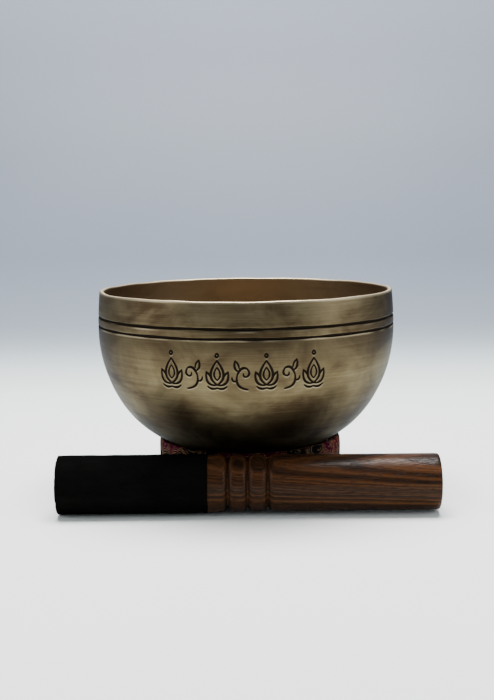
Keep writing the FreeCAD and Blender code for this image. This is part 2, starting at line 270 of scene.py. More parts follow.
STUFFING_AROUND, STUFFING_ALONG = 144, 40
STUFFING_INSET = 0.0017
section, section_length = closed_curve(RING_SECTION, STUFFING_ALONG)
lumps = random.Random(5)
stuffing_points = ring_points(section, STUFFING_AROUND, STUFFING_INSET)
for i in range(STUFFING_AROUND):
    for j in range(STUFFING_ALONG):
        stuffing_points[i, j, 2] -= lumps.uniform(0, 0.0002)
stuffing_points[:, :, 2] = np.maximum(stuffing_points[:, :, 2], 0.0013)
stuffing = piece_from(
    "cushion_stuffing",
    stuffing_points.reshape(-1, 3),
    ring_faces(STUFFING_AROUND, STUFFING_ALONG),
)
stuffing.data.materials.append(cotton())
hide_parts("cushion_filling")
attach(stuffing, "cushion")

# ------------------------------------------------------------------ brocade cover
# A strip of silk brocade sewn into a sleeve, stuffed, bent into a ring and closed
# inside the hole, where its length is gathered. Magenta ground, with scrolls of
# gold thread around black and red figures.

MAGENTA = (0.076, 0.0012, 0.0210)
MAROON = (0.026, 0.0006, 0.0065)
SILK_BLACK = (0.004, 0.003, 0.004)
FLAME_RED = (0.17, 0.005, 0.006)
GOLD_THREAD = (0.46, 0.33, 0.13)
COVER_AROUND, COVER_ALONG = 240, 64
GATHERS = 46
GATHER_DEPTH = 0.00045
COVER_CAP = 0.0011
COVER_UNDER_BOWL = 0.0002
COVER_INSET = 0.0004
TUBE_MIDDLE = (0.037, 0.013)
SIDE_FULLNESS, MORE_AT_PLUS_X = 0.0021, 0.0016
LIP_FULLNESS, LIP_FROM = 0.0012, 0.02
SIM_SCALE = 20.0
SIM_STEPS = 18


def seat_and_table(points):
    """Keeps the cover's points below the bowl and no lower than the table."""
    radius = np.hypot(points[:, 0] - AXIS.x, points[:, 1] - AXIS.y)
    points[:, 2] = np.minimum(points[:, 2], under_bowl(radius) - COVER_UNDER_BOWL)
    points[:, 2] = np.maximum(points[:, 2], 0.0)
    return points


def settle_cloth(piece, pinned):
    """Blows the closed cover up like cloth over its stuffing, and keeps the result.
    It is done at a larger scale, where the cloth solver is steady, and no point
    moves further than COVER_CAP."""
    mesh = piece.data
    start = np.empty(len(mesh.vertices) * 3)
    mesh.vertices.foreach_get("co", start)
    start = start.reshape(-1, 3)
    big = bpy.data.objects.new("cover_cloth", mesh.copy())
    bpy.context.scene.collection.objects.link(big)
    big.data.transform(Matrix.Scale(SIM_SCALE, 4))
    group = big.vertex_groups.new(name="sewn")
    group.add(pinned, 1.0, "REPLACE")
    cloth = big.modifiers.new("cloth", "CLOTH")
    cloth.settings.quality = 6
    cloth.settings.mass = 0.25
    cloth.settings.tension_stiffness = 12
    cloth.settings.compression_stiffness = 12
    cloth.settings.shear_stiffness = 4
    cloth.settings.bending_stiffness = 0.25
    cloth.settings.shrink_min = -0.045
    cloth.settings.use_pressure = True
    cloth.settings.uniform_pressure_force = 3.0
    cloth.settings.vertex_group_mass = "sewn"
    cloth.settings.effector_weights.gravity = 0.0
    cloth.collision_settings.use_collision = False
    cloth.point_cache.frame_start = 1
    cloth.point_cache.frame_end = SIM_STEPS
    for step in range(1, SIM_STEPS + 1):
        bpy.context.scene.frame_set(step)
    settled = big.evaluated_get(bpy.context.evaluated_depsgraph_get()).to_mesh()
    end = np.empty(len(settled.vertices) * 3)
    settled.vertices.foreach_get("co", end)
    end = end.reshape(-1, 3) / SIM_SCALE
    bpy.data.objects.remove(big)
    bpy.context.scene.frame_set(1)
    move = end - start
    far = np.linalg.norm(move, axis=1)
    move *= np.minimum(1, COVER_CAP / np.maximum(far, 1e-9))[:, None]
    mesh.vertices.foreach_set("co", seat_and_table(start + move).ravel())
    mesh.update()


PATCHES_PER_METRE = 78.0
SCROLL_PITCH = 0.0042
WARP_PITCH, WEFT_PITCH = 0.00032, 0.00042
DULL_GOLD = (0.060, 0.028, 0.008)


def brocade():
    """Satin ground with woven scrolls, drawn on the cloth's own two directions."""
    recipe = Recipe("silk_brocade")
    flat = recipe.add("UVMap", uv_map="cloth").outputs[0]
    wander = recipe.add("TexNoise")
    recipe.feed(wander.inputs["Vector"], flat)
    wander.inputs["Scale"].default_value = 95
    pushed = recipe.stretched(wander.outputs["Color"], (0.0085, 0.0085, 0.0))
    flat_pushed = recipe.add("VectorMath", flat, pushed, operation="ADD").outputs[0]

    def cells(feature):
        node = recipe.add("TexVoronoi", voronoi_dimensions="2D", feature=feature)
        recipe.feed(node.inputs["Vector"], flat_pushed)
        node.inputs["Scale"].default_value = PATCHES_PER_METRE
        node.inputs["Randomness"].default_value = 0.75
        return node

    # Cloud-shaped patches about 13 mm across, edged with two gold lines.
    patch = cells("F1")
    edge = cells("DISTANCE_TO_EDGE").outputs["Distance"]
    edge_mm = recipe.math("MULTIPLY", edge, 1000 / PATCHES_PER_METRE)

    def line(value, middle, half):
        off = recipe.math("ABSOLUTE", recipe.math("SUBTRACT", value, middle))
        return recipe.spread(off, half * 0.6, half * 1.1, 1.0, 0.0)

    outline = recipe.math("MAXIMUM", line(edge_mm, 0.55, 0.19), line(edge_mm, 1.75, 0.12))

    # A scroll winds out of the middle of each patch.
    from_middle = recipe.add(
        "VectorMath", flat_pushed, patch.outputs["Position"], operation="SUBTRACT"
    ).outputs[0]
    parts = recipe.add("SeparateXYZ", from_middle)
    angle = recipe.math("ARCTAN2", parts.outputs[1], parts.outputs[0])
    reach = recipe.add("VectorMath", from_middle, operation="LENGTH").outputs["Value"]
    turns = recipe.math("MULTIPLY", reach, 1 / SCROLL_PITCH)
    winding = recipe.math("FRACT", recipe.math("MULTIPLY_ADD", angle, 1 / (2 * math.pi), turns))
    scroll = line(winding, 0.5, 0.050)
    inner = recipe.spread(edge_mm, 2.2, 2.5)
    scroll = recipe.math("MULTIPLY", scroll, inner)
    gold = recipe.math("MAXIMUM", outline, scroll)

    # Some patches are black or red, and the ground between is magenta.
    dice = recipe.add("SeparateColor", patch.outputs["Color"])
    black = recipe.math("GREATER_THAN", dice.outputs[0], 0.56)
    red = recipe.math("GREATER_THAN", dice.outputs[1], 0.74)
    inside = recipe.spread(edge_mm, 0.85, 0.95)
    core = recipe.math("LESS_THAN", winding, 0.42)
    shade = recipe.noise(flat, 60, 3)
    ground = recipe.mix(shade, MAROON, MAGENTA)
    ground = recipe.mix(recipe.math("MULTIPLY", black, inside), ground, SILK_BLACK)
    red_core = recipe.math("MULTIPLY", recipe.math("MULTIPLY", red, core), inner)
    ground = recipe.mix(red_core, ground, FLAME_RED)

    # Threads: the ground is a fine warp satin, the gold lies across it in floats.
    threads = recipe.add("SeparateXYZ", flat)
    turn = 2 * math.pi
    warp = recipe.math("SINE", recipe.math("MULTIPLY", threads.outputs[0], turn / WARP_PITCH))
    weft = recipe.math("SINE", recipe.math("MULTIPLY", threads.outputs[1], turn / WEFT_PITCH))
    floats = recipe.math("MULTIPLY_ADD", weft, 0.5, 0.5)
    satin = recipe.math("MULTIPLY_ADD", warp, 0.5, 0.5)
    worn_gold = recipe.mix(floats, DULL_GOLD, GOLD_THREAD)
    unworn = recipe.spread(recipe.noise(flat, 420, 2), 0.38, 0.46)
    gold_share = recipe.math("MULTIPLY", gold, unworn)
    weave = recipe.math("MULTIPLY_ADD", satin, 0.35, 0.65)
    ground = recipe.mix(1.0, ground, weave, "MULTIPLY")
    colour = recipe.mix(gold_share, ground, worn_gold)
    height = recipe.math("MULTIPLY_ADD", gold_share, floats, recipe.math("MULTIPLY", satin, 0.35))
    relief = recipe.bump(height, 0.00022)
    roughness = recipe.spread(gold_share, 0, 1, 0.75, 0.55)
    metal = recipe.math("MULTIPLY", gold_share, 0.25)
    return recipe.finish(colour, roughness, relief, metal, Specular_IOR_Level=0.01)


section, section_length = closed_curve(RING_SECTION, COVER_ALONG)
cover_points = ring_points(section, COVER_AROUND, COVER_INSET)
wrinkles = random.Random(11)
gather_phase = [wrinkles.uniform(-0.5, 0.5) for _ in range(GATHERS)]
gather_size = [wrinkles.uniform(0.4, 1.0) for _ in range(GATHERS)]
seam_row = int(np.argmin(section[:, 0]))
for i in range(COVER_AROUND):
    share = i / COVER_AROUND * GATHERS
    which = int(share) % GATHERS
    wave = math.cos(2 * math.pi * (share + 0.25 * gather_phase[which]))
    for j in range(COVER_ALONG):
        away = min(abs(j - seam_row), COVER_ALONG - abs(j - seam_row)) / COVER_ALONG
        pull = math.exp(-((away / 0.13) ** 2)) * gather_size[which]
        outer = 0.25 * math.cos(9 * away + 3 * gather_phase[which])
        outward = cover_points[i, j] - np.array(AXIS)
        lean = Vector((outward[0], outward[1], 0)).normalized()
        across, high = TUBE_MIDDLE
        middle = np.array([AXIS.x + lean.x * across, AXIS.y + lean.y * across, high])
        out = cover_points[i, j] - middle
        out /= np.linalg.norm(out)
        cover_points[i, j] += out * wave * GATHER_DEPTH * (pull + 0.12 * outer)
        # It is stuffed fuller at both sides than in front, and fullest at +X.
        fuller = max(0.0, out[0] * lean.x + out[1] * lean.y) + 0.4 * max(0.0, out[2])
        side = SIDE_FULLNESS + MORE_AT_PLUS_X * lean.x
        cover_points[i, j, 0] += fuller * lean.x * abs(lean.x) * side
        on_lip = cover_points[i, j, 2] > LIP_FROM
        cover_points[i, j, 2] += LIP_FULLNESS * fuller * abs(lean.x) * on_lip
cover = piece_from(
    "brocade_cover",
    seat_and_table(cover_points.reshape(-1, 3)),
    ring_faces(COVER_AROUND, COVER_ALONG),
)
cloth_map = cover.data.uv_layers.new(name="cloth")
strip_length = 2 * math.pi * float(section[:, 0].max())
spot = 0
for i in range(COVER_AROUND):
    for j in range(COVER_ALONG):
        for u, v in ((i, j), (i + 1, j), (i + 1, j + 1), (i, j + 1)):
            along = ((v - seam_row) % COVER_ALONG) if v != seam_row + COVER_ALONG else COVER_ALONG
            last = (j - seam_row) % COVER_ALONG == COVER_ALONG - 1
            if last and (v - seam_row) % COVER_ALONG == 0:
                along = COVER_ALONG
            cloth_map.data[spot].uv = (
                u / COVER_AROUND * strip_length,
                along / COVER_ALONG * section_length,
            )
            spot += 1
sewn = [i * COVER_ALONG + seam_row for i in range(COVER_AROUND)]
settle_cloth(cover, sewn)
rounder = cover.modifiers.new("rounder", "SUBSURF")
rounder.levels = 1
rounder.render_levels = 1
cover.data.materials.append(brocade())
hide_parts("cushion_cover")
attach(cover, "cushion")

# ------------------------------------------------------------------ closing seam
# The cover's long edges meet inside the hole and are whip-stitched together with
# doubled thread. The stitches go round the hole in one closed run.

STITCHES = 62
STITCH_HALF = 0.0016
STITCH_DEPTH = 0.00045
THREAD_THICK = 0.00026
THREAD_RED = (0.10, 0.008, 0.025)
THREAD_DARK = (0.045, 0.003, 0.010)
POINTS_PER_STITCH = 16
thread_low, thread_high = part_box("cushion_seam_thread")
SEAM_UP = (thread_low.z + thread_high.z) / 2
SEAM_RADIUS = (thread_high.x - thread_low.x) / 2 - (thread_high.z - thread_low.z) / 2


def tube(name, line, radius, sides=8, closed=True):
    """A round thread along a line of points."""
    line = np.array(line)
    count = len(line)
    if closed:
        ahead = np.roll(line, -1, axis=0) - np.roll(line, 1, axis=0)
    else:
        ahead = np.gradient(line, axis=0)
    ahead /= np.linalg.norm(ahead, axis=1)[:, None]
    side = np.cross(ahead, np.array([0.0, 0.0, 1.0]))
    side /= np.maximum(np.linalg.norm(side, axis=1), 1e-9)[:, None]
    over = np.cross(side, ahead)
    turn = np.linspace(0, 2 * math.pi, sides, endpoint=False)
    offset = side[:, None] * np.cos(turn)[None, :, None]
    offset = offset + over[:, None] * np.sin(turn)[None, :, None]
    points = line[:, None] + offset * radius
    return piece_from(name, points.reshape(-1, 3), ring_faces(count, sides))


def sewing_thread():
    """Two-ply thread, mottled dark and red by noise."""
    recipe = Recipe("sewing_thread")
    place = recipe.place()
    ply = recipe.noise(place, 2600, 2, 0.6)
    colour = recipe.mix(ply, THREAD_DARK, THREAD_RED)
    return recipe.finish(colour, 0.6, recipe.bump(ply, 0.00008), Sheen_Weight=0.3)


thread_line = []
for step in range(STITCHES * POINTS_PER_STITCH):
    turn = 2 * math.pi * step / (STITCHES * POINTS_PER_STITCH)
    wind = STITCHES * turn
    radius = SEAM_RADIUS - STITCH_DEPTH * math.cos(wind)
    thread_line.append(
        (
            AXIS.x + radius * math.cos(turn),
            AXIS.y + radius * math.sin(turn),
            SEAM_UP + STITCH_HALF * math.sin(wind),
        )
    )
stitching = tube("closing_stitches", thread_line, THREAD_THICK)
stitching.data.materials.append(sewing_thread())
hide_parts("cushion_seam_thread")
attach(stitching, "cushion")

# ------------------------------------------------------------------ bowl
# One disc of bronze, beaten up by hand into a bowl, then scraped and brushed to a
# satin skin. Shallow hammer marks remain, the rim keeps a slight wave, two lines
# are chased around below it, and a frieze of lotus buds is engraved in front.

BELLY_RADIUS = (bowl_high.x - bowl_low.x) / 2
RIM_UP = bowl_high.z
BELLY_RISE = 0.0718
BELLY_UP = FOOT_UP + BELLY_RISE
SIDE_CURVE = 0.0801
RIM_DRAW_IN = 0.0010
WALL = 0.0022
BOTTOM = 0.0028
LIP = 0.0025
LIP_ROUND = 0.00085
CHASED_DROPS = (0.01425, 0.0194)
FRIEZE_DROPS = (0.0225, 0.0505)
FRIEZE_HALF_TURN = math.radians(36)
FRIEZE_STEP = 0.0003
CHASED_HALF, CHASED_DEEP = 0.00084, 0.00052
ENGRAVED_DEEP = 0.00042
DENTS_OUTSIDE, DENTS_INSIDE = 0.00012, 0.00014
UNDENTED_RADIUS = 0.012
RIM_WAVE, RIM_SWAY = 0.00022, 0.00025


def arc_run(centre, radius, begin, end):
    """Points of an arc about centre, a tenth of a millimetre apart."""
    count = max(3, int(abs(end - begin) * radius / 0.0001))
    turn = np.linspace(begin, end, count)
    return np.stack([centre[0] + radius * np.cos(turn), centre[1] + radius * np.sin(turn)], axis=1)


def side_runs(belly, floor_up, curve, draw_in, top):
    """The wall from the edge of the flat foot up to the rim, as one fine line."""
    rise = BELLY_UP - floor_up
    shift = FOOT_RADIUS - (belly - curve)
    foot_curve = (curve**2 - shift**2 - rise**2) / (2 * (curve - rise))
    lean = math.atan2(foot_curve - rise, shift)
    shoulder = ((top - BELLY_UP) ** 2 + draw_in**2) / (2 * draw_in)
    reach = math.asin((top - BELLY_UP) / shoulder)
    return np.concatenate(
        [
            arc_run((FOOT_RADIUS, floor_up + foot_curve), foot_curve, -math.pi / 2, lean),
            arc_run((belly - curve, BELLY_UP), curve, lean, 0),
            arc_run((belly - shoulder, BELLY_UP), shoulder, 0, reach),
        ]
    )


def bowl_outline():
    """The whole section, foot centre to rim to inside centre."""
    rim = BELLY_RADIUS - RIM_DRAW_IN
    outside = side_runs(BELLY_RADIUS, FOOT_UP, SIDE_CURVE, RIM_DRAW_IN, RIM_UP - LIP_ROUND)
    inner_belly = BELLY_RADIUS - WALL
    inner_draw = inner_belly - (rim - LIP)
    inside = side_runs(
        inner_belly, FOOT_UP + BOTTOM, SIDE_CURVE - WALL, inner_draw, RIM_UP - LIP_ROUND
    )
    level, quarter = RIM_UP - LIP_ROUND, math.pi / 2
    outer_edge = arc_run((outside[-1][0] - LIP_ROUND, level), LIP_ROUND, 0, quarter)
    inner_edge = arc_run((inside[-1][0] + LIP_ROUND, level), LIP_ROUND, quarter, math.pi)
    foot, floor = [[0, FOOT_UP]], [[0, FOOT_UP + BOTTOM]]
    line = np.concatenate([foot, outside, outer_edge, inner_edge, inside[::-1], floor])
    steps = np.hypot(*np.diff(line, axis=0).T)
    keep = np.concatenate([[True], steps > 1e-7])
    line = line[keep]
    run = np.concatenate([[0], np.cumsum(np.hypot(*np.diff(line, axis=0).T))])
    lip_run = run[int(np.argmax(line[:, 1]))]
    return line, run, lip_run


def row_step(radius, up, outer):
    """How far apart the bowl's rows of points lie here."""
    drop = RIM_UP - up
    if drop < 0.0012:
        return 0.00022
    if not outer:
        return 0.0022
    near_line = min(abs(drop - chased) for chased in CHASED_DROPS)
    if near_line < 0.0013:
        return 0.00018
    if near_line < 0.0035:
        return 0.0008
    if FRIEZE_DROPS[0] < drop < FRIEZE_DROPS[1]:
        return FRIEZE_STEP
    return 0.0019


PLAIN_TURNS = np.linspace(0, 2 * math.pi, 264, endpoint=False) - math.pi / 2
FINE_COUNT = int(2 * FRIEZE_HALF_TURN * BELLY_RADIUS / FRIEZE_STEP)
FINE_TURNS = np.sort(
    np.concatenate(
        [
            PLAIN_TURNS[np.abs(PLAIN_TURNS + math.pi / 2) > FRIEZE_HALF_TURN],
            np.linspace(-FRIEZE_HALF_TURN, FRIEZE_HALF_TURN, FINE_COUNT) - math.pi / 2,
        ]
    )
)
FINE_TURNS = FINE_TURNS[np.argsort((FINE_TURNS + math.pi / 2) % (2 * math.pi))]


def bud(strokes, across, up, size):
    """A lotus: a bud with an inner petal, two side petals, a sill and a seed above."""
    def curve(a, b, c, width):
        strokes.append(([(across + x * size, up + y * size) for x, y in (a, b, c)], width))

    for hand in (-1, 1):
        curve((0, -6.4), (hand * 7.6, -1.6), (0, 8.2), 0.70)
        curve((0, -3.6), (hand * 3.6, -0.4), (0, 4.2), 0.52)
        curve((hand * 0.8, -6.6), (hand * 7.4, -7.0), (hand * 6.4, 1.6), 0.66)
        curve((hand * 6.4, 1.6), (hand * 4.6, 0.2), (hand * 4.0, -1.6), 0.56)
        curve((hand * 0.2, -8.4), (hand * 3.4, -9.6), (hand * 5.6, -7.4), 0.60)
    curve((-1.0, 11.3), (0, 13.2), (1.0, 11.3), 0.60)
    curve((-1.0, 11.3), (0, 9.4), (1.0, 11.3), 0.60)


def tendril(strokes, across, up, size, hand):
    """A leaf scroll that curls out of a stem between two buds."""
    def curve(a, b, c, width):
        strokes.append(([(across + hand * x * size, up + y * size) for x, y in (a, b, c)], width))

    curve((-3.2, -8.4), (3.8, -7.4), (2.4, -0.6), 0.66)
    curve((2.4, -0.6), (0.4, 5.2), (-3.0, 3.2), 0.70)
    curve((-3.0, 3.2), (-5.2, 0.2), (-2.6, -1.2), 0.62)
    curve((-2.6, -1.2), (-0.8, -1.6), (-0.9, 0.6), 0.50)
    curve((1.9, 1.8), (4.6, 3.4), (3.4, 7.6), 0.62)
    curve((3.4, 7.6), (1.4, 6.0), (1.3, 3.4), 0.52)
    curve((2.9, -3.8), (5.0, -4.2), (5.2, -1.6), 0.54)


def frieze_strokes():
    """Every engraved stroke, as three points in mm along and up the band, and its
    half width. The band is measured from the middle of the front."""
    strokes = []
    hand = random.Random(23)
    middle_up = -38.0
    for k in range(7):
        across = (k - 3) * 12.9 - 2.3 + hand.uniform(-0.25, 0.25)
        up = middle_up + hand.uniform(-0.3, 0.3)
        if k % 2 == 0:
            bud(strokes, across, up, 0.92 + hand.uniform(-0.03, 0.03))
        else:
            tendril(strokes, across, up, 0.98, 1 if k % 4 == 1 else -1)
    return strokes


def engraved(along, up):
    """Depth of the engraving, 0 to 1, at points given in mm on the band."""
    deep = np.zeros_like(along)
    for (a, b, c), width in frieze_strokes():
        a, b, c = np.array(a), np.array(b), np.array(c)
        shares = np.linspace(0, 1, 15)
        line = [(1 - t) ** 2 * a + 2 * t * (1 - t) * b + t**2 * c for t in shares]
        low = np.min(line, axis=0) - 1.5
        high = np.max(line, axis=0) + 1.5
        near = (along > low[0]) & (along < high[0]) & (up > low[1]) & (up < high[1])
        if not near.any():
            continue
        px, py = along[near], up[near]
        best = np.zeros_like(px)
        for start, end, t in zip(line[:-1], line[1:], shares):
            way = end - start
            share = ((px - start[0]) * way[0] + (py - start[1]) * way[1]) / (way @ way)
            share = np.clip(share, 0, 1)
            off = np.hypot(px - start[0] - share * way[0], py - start[1] - share * way[1])
            half = width * (0.72 + 0.45 * math.sin(math.pi * min(1, t + 0.03)))
            best = np.maximum(best, np.clip(1.12 - off / half, 0, 1))
        deep[near] = np.maximum(deep[near], best)
    return deep


def soft_wave(turn, seed, low, high):
    """A closed wave around the bowl with a spread of frequencies, about -1 to 1."""
    dice = random.Random(seed)
    total = np.zeros_like(turn)
    weight = 0.0
    for times in range(low, high):
        size = dice.uniform(0.4, 1.0) / math.sqrt(times)
        total += size * np.sin(times * turn + dice.uniform(0, 2 * math.pi))
        weight += size**2
    return total / math.sqrt(2 * weight)


BLOW_SPACING = 0.0135
SHEET_RUN, BLOW_RING, BLOW_RADIUS = 0.150, 0.080, 0.078


def hammer_marks(turn, along, seed):
    """Overlapping shallow dishes on the sheet, 0 at their rims and -1 in the middle."""
    dice = random.Random(seed)
    rows = int(SHEET_RUN / BLOW_SPACING)
    around = int(2 * math.pi * BLOW_RING / BLOW_SPACING)
    deep = np.zeros_like(along)
    for r in range(rows):
        for k in range(around):
            middle = 2 * math.pi * (k + 0.5 * (r % 2) + dice.uniform(-0.3, 0.3)) / around
            level = (r + 0.5 + dice.uniform(-0.3, 0.3)) * BLOW_SPACING
            size = BLOW_SPACING * dice.uniform(0.62, 0.95)
            strength = dice.uniform(0.5, 1.0)
            near = np.abs(along - level) < size
            gap = (turn[near] - middle + math.pi) % (2 * math.pi) - math.pi
            off = (gap * BLOW_RADIUS) ** 2 + (along[near] - level) ** 2
            dish = np.maximum(1 - off / size**2, 0) * strength
            deep[near] = np.minimum(deep[near], -dish)
    return deep


def zip_rows(first, first_turns, second, second_turns):
    """Faces between two rows of points that may be spaced differently."""
    if len(first_turns) == len(second_turns):
        count = len(first_turns)
        return [
            (first + i, first + (i + 1) % count, second + (i + 1) % count, second + i)
            for i in range(count)
        ]
    faces = []
    i = j = 0
    start = first_turns[0]
    lower = list((first_turns - start) % (2 * math.pi)) + [2 * math.pi]
    upper = list((second_turns - start) % (2 * math.pi)) + [2 * math.pi]
    while i < len(first_turns) or j < len(second_turns):
        a, b = first + i % len(first_turns), second + j % len(second_turns)
        climb = j >= len(second_turns) or (i < len(first_turns) and lower[i + 1] <= upper[j + 1])
        if climb:
            faces.append((a, first + (i + 1) % len(first_turns), b))
            i += 1
        else:
            faces.append((a, second + (j + 1) % len(second_turns), b))
            j += 1
    return faces


def beat_bowl():
    """The bowl's mesh, with how dark each point's cuts and hollows have gone, and where a highlight
    is painted just below each cut.
    """
    line, run, lip_run = bowl_outline()
    rows = []
    spot = FOOT_RADIUS * 0.2
    while spot < run[-1] - 0.002:
        radius, up = np.interp(spot, run, line[:, 0]), np.interp(spot, run, line[:, 1])
        rows.append((spot, radius, up, spot < lip_run))
        spot += row_step(radius, up, spot < lip_run)
    points, dark, cut_glint, inside, faces, starts = [], [], [], [], [], []
    for spot, radius, up, outer in rows:
        drop = RIM_UP - up
        fine = outer and FRIEZE_DROPS[0] < drop < FRIEZE_DROPS[1]
        turns = FINE_TURNS if fine else PLAIN_TURNS
        back, ahead = max(spot - 0.0002, 0), min(spot + 0.0002, run[-1])
        there, here = ([np.interp(at, run, line[:, k]) for k in (0, 1)] for at in (ahead, back))
        way = np.array(there) - np.array(here)
        way /= np.linalg.norm(way)
        outward = np.array([way[1], -way[0]])
        marks = 0 * turns
        if radius > UNDENTED_RADIUS:
            marks = hammer_marks(turns, np.full_like(turns, spot), 3 if outer else 8)
        near_rim = math.exp(-drop / 0.010)
        push = DENTS_OUTSIDE * marks * (1 - 0.6 * near_rim) if outer else DENTS_INSIDE * marks
        shade = np.zeros_like(turns)
        cut_glint_strip = np.zeros_like(turns)
        if outer:
            for k, chased in enumerate(CHASED_DROPS):
                centre = chased + 0.00012 * soft_wave(turns, 31 + k, 3, 14)
                half = CHASED_HALF * (1 + 0.20 * soft_wave(turns, 41 + k, 8, 40))
                cut = np.clip(1 - np.abs(drop - centre) / half, 0, 1)
                cut = np.minimum(cut * 1.5, 1)
                push = push - CHASED_DEEP * cut
                shade = np.maximum(shade, cut)
                # Painted highlight: a bright strip just below each chased line.
                below = (drop - centre - half - 0.00022) / 0.00024
                cut_glint_strip = np.maximum(cut_glint_strip, np.exp(-(below**2)))
        if fine:
            front = (turns + math.pi / 2 + math.pi) % (2 * math.pi) - math.pi
            cut = engraved(front * radius * 1000, np.full_like(turns, -drop * 1000))
            push = push - ENGRAVED_DEEP * cut
            shade = np.maximum(shade, cut)
            # Painted highlight: a bright strip just below each engraved stroke.
            above = engraved(front * radius * 1000, np.full_like(turns, 0.55 - drop * 1000))
            cut_glint_strip = np.maximum(cut_glint_strip, np.clip(above - 2 * cut, 0, 1))
        lift = near_rim * (RIM_WAVE * soft_wave(turns, 17, 5, 22) - 0.0002)
        sway = near_rim * RIM_SWAY * soft_wave(turns, 19, 2, 7)
        across = radius + outward[0] * push + sway
        starts.append((len(points), turns))
        points.extend(
            np.stack(
                [
                    AXIS.x + across * np.cos(turns),
                    AXIS.y + across * np.sin(turns),
                    up + outward[1] * push + lift,
                ],
                axis=1,
            )
        )
        dark.extend(shade)
        cut_glint.extend(cut_glint_strip)
        inside.extend(np.full_like(turns, 0.0 if outer else 1.0))
    for (first, first_turns), (second, second_turns) in zip(starts[:-1], starts[1:]):
        faces.extend(zip_rows(first, first_turns, second, second_turns))
    ends = ((starts[0], FOOT_UP, True), (starts[-1], FOOT_UP + BOTTOM, False))
    for (first, turns), up, flip in ends:
        pole = len(points)
        points.append((AXIS.x, AXIS.y, up))
        dark.append(0.0)
        cut_glint.append(0.0)
        inside.append(0.0 if flip else 1.0)
        for i in range(len(turns)):
            a, b = first + i, first + (i + 1) % len(turns)
            faces.append((b, a, pole) if flip else (a, b, pole))
    piece = piece_from("beaten_bowl", points, faces)
    for name, values in (("cut_dark", dark), ("painted_cut_glint", cut_glint), ("inner_face", inside)):
        layer = piece.data.attributes.new(name, "FLOAT", "POINT")
        layer.data.foreach_set("value", np.array(values, np.float32))
    return piece


PATINA = (0.046, 0.030, 0.015)
LINE_BAND_DARK = (0.046, 0.034, 0.020)
BRUSHED_BRIGHT = (0.34, 0.28, 0.18)
INSIDE_DARK, INSIDE_BRIGHT = (0.165, 0.116, 0.066), (0.33, 0.245, 0.150)
RIM_BRIGHT = (0.60, 0.50, 0.33)
PAINTED_GLINT_COLOUR = (0.42, 0.35, 0.23)
CUT_BLACK = (0.014, 0.010, 0.007)


def bronze():
    """Brushed bronze that has browned with age, black in its cuts."""
    recipe = Recipe("aged_bronze")
    place = recipe.place()
    parts = recipe.add("SeparateXYZ", place)
    behind = recipe.math("SUBTRACT", parts.outputs[1], AXIS.y)
    flat = recipe.add("CombineXYZ", parts.outputs[0], behind, 0.0).outputs[0]
    radius = recipe.add("VectorMath", flat, operation="LENGTH").outputs["Value"]
    round_and_up = recipe.math("ADD", radius, parts.outputs[2])
    brushing = recipe.add("CombineXYZ", parts.outputs[0], behind, round_and_up).outputs[0]
    fine_strokes = recipe.noise(recipe.stretched(brushing, (26, 26, 2600)), 1.0, 3, 0.6)
    broad_strokes = recipe.noise(recipe.stretched(brushing, (14, 14, 420)), 1.0, 3, 0.6)
    clouds = recipe.noise(recipe.stretched(place, (30, 30, 44), (4.2, 1.3, 0.4)), 1.0, 4, 0.58, 0.5)
    patches = recipe.noise(place, 75, 3, 0.6)
    skin = recipe.ramp(
        clouds,
        [
            (0.36, (0.044, 0.028, 0.014)),
            (0.45, (0.074, 0.052, 0.028)),
            (0.54, (0.108, 0.082, 0.044)),
            (0.66, (0.146, 0.116, 0.066)),
        ],
    )
    blotches = recipe.math("ADD", broad_strokes, recipe.math("MULTIPLY", patches, 0.5))
    stain = recipe.spread(blotches, 0.62, 0.95)
    skin = recipe.mix(recipe.math("MULTIPLY", stain, 0.34), skin, PATINA)
    skin = recipe.mix(recipe.spread(fine_strokes, 0.45, 0.7, 0.0, 0.12), skin, BRUSHED_BRIGHT)
    # A band below the chased lines is darker, fading out further down.
    under_lines = recipe.spread(parts.outputs[2], RIM_UP - 0.0200, RIM_UP - 0.0215)
    fading = recipe.spread(parts.outputs[2], RIM_UP - 0.042, RIM_UP - 0.026)
    darker_band = recipe.math("MULTIPLY", under_lines, fading)
    skin = recipe.mix(recipe.math("MULTIPLY", darker_band, 0.45), skin, LINE_BAND_DARK)
    # The inside gets its own lighter, warmer bronze than the outside: partly less patina, partly
    # painted light to brighten it.
    inside = recipe.attribute("inner_face")
    skin = recipe.mix(inside, skin, recipe.mix(clouds, INSIDE_DARK, INSIDE_BRIGHT))
    rim_near = recipe.spread(parts.outputs[2], RIM_UP - 0.0016, RIM_UP - 0.0004)
    skin = recipe.mix(recipe.math("MULTIPLY", rim_near, 0.7), skin, RIM_BRIGHT)
    # Painted highlight: a bright strip along the edge just below each cut, where the groove's lower
    # wall would catch the light.
    cut_glint = recipe.attribute("painted_cut_glint")
    skin = recipe.mix(recipe.math("MULTIPLY", cut_glint, 0.65), skin, PAINTED_GLINT_COLOUR)
    cut = recipe.attribute("cut_dark")
    dark = recipe.spread(cut, 0.08, 0.42)
    colour = recipe.mix(dark, skin, CUT_BLACK)
    roughness = recipe.math("MULTIPLY_ADD", broad_strokes, 0.16, 0.34)
    roughness = recipe.math("MULTIPLY_ADD", dark, 0.3, roughness)
    relief = recipe.bump(broad_strokes, 0.000035)
    relief = recipe.bump(fine_strokes, 0.000012, under=relief)
    pits = recipe.spread(recipe.noise(place, 1400, 2), 0.66, 0.76)
    relief = recipe.bump(recipe.math("SUBTRACT", 1.0, pits), 0.00002, under=relief)
    return recipe.finish(
        colour,
        roughness,
        relief,
        1.0,
        Anisotropic=0.35,
        Specular_Tint=(0.52, 0.56, 0.62),
    )


bowl = beat_bowl()
bowl.data.materials.append(bronze())
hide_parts("bowl")
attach(bowl, "bowl")

# ------------------------------------------------------------------ mallet stick
# A rosewood blank turned between centres: a seat for the suede, three beads, and a
# plain handle. Waxed, with the grain running along it.

